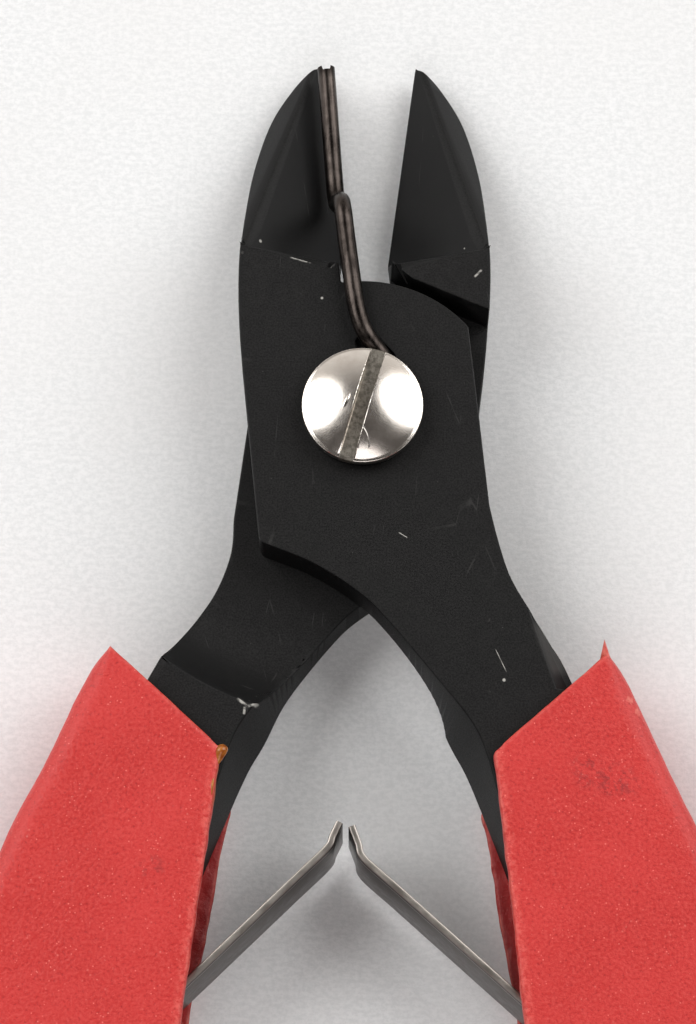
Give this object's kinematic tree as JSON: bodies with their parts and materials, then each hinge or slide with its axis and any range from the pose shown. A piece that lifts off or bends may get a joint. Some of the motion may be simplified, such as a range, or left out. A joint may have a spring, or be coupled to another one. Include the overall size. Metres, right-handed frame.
{
  "type": "diagonal cutting pliers",
  "caption": "Small lap-jointed diagonal cutting pliers with red vinyl grips, leaf return springs and a wire lead catcher.",
  "frame": {"origin": "on the pivot axis, at the flat tail of the pivot screw, level with the underside of the steel head", "axes": "+Z along the pivot axis towards the screw's slotted head, +Y from the pivot towards the jaw tips, +X to the right with the jaws away from the viewer"},
  "size_m": [0.0542, 0.1254, 0.0098],
  "materials": {
    "black_steel": "black oxide, finely ground",
    "screw_plate": "bright nickel plate, polished",
    "catcher_wire": "drawn spring wire, blued",
    "spring_steel": "rolled strip, satin",
    "rivet_steel": "bright, set by hand",
    "red_vinyl": "soft dipped vinyl, fine grain"
  },
  "bodies": {
    "back_half": {"back_lever": "black_steel", "pivot_screw": "screw_plate", "left_spring_rivet": "rivet_steel", "left_grip": "red_vinyl"},
    "front_half": {"front_lever": "black_steel", "right_spring_rivet": "rivet_steel", "right_grip": "red_vinyl"},
    "left_spring": {"left_leaf_spring": "spring_steel"},
    "right_spring": {"right_leaf_spring": "spring_steel"},
    "catcher": {"lead_catcher": "catcher_wire"}
  },
  "joints": [
    {"name": "jaw_pivot", "type": "hinge", "parent": "back_half", "child": "front_half", "pos_m": [0, 0, 0.00325], "axis": [0, 0, 1], "range_deg": [-13.3, 0], "stiffness_Nm_per_rad": 1.5},
    {"name": "left_spring_flex", "type": "hinge", "parent": "back_half", "child": "left_spring", "pos_m": [-0.01328, -0.04134, 0.00325], "axis": [0, 0, 1], "range_deg": [0, 12.6], "deforming": ["left_leaf_spring"]},
    {"name": "right_spring_flex", "type": "hinge", "parent": "front_half", "child": "right_spring", "pos_m": [0.01328, -0.04134, 0.00325], "axis": [0, 0, 1], "range_deg": [-12.6, 0], "deforming": ["right_leaf_spring"]},
    {"name": "catcher_flex", "type": "hinge", "parent": "front_half", "child": "catcher", "pos_m": [0, 0, 0.00645], "axis": [0, 0, 1], "range_deg": [0, 1.5], "stiffness_Nm_per_rad": 0.5}
  ],
  "couplings": [
    {"joint": "left_spring_flex", "follows": "jaw_pivot", "ratio": -0.93},
    {"joint": "right_spring_flex", "follows": "jaw_pivot", "ratio": 0.93}
  ]
}
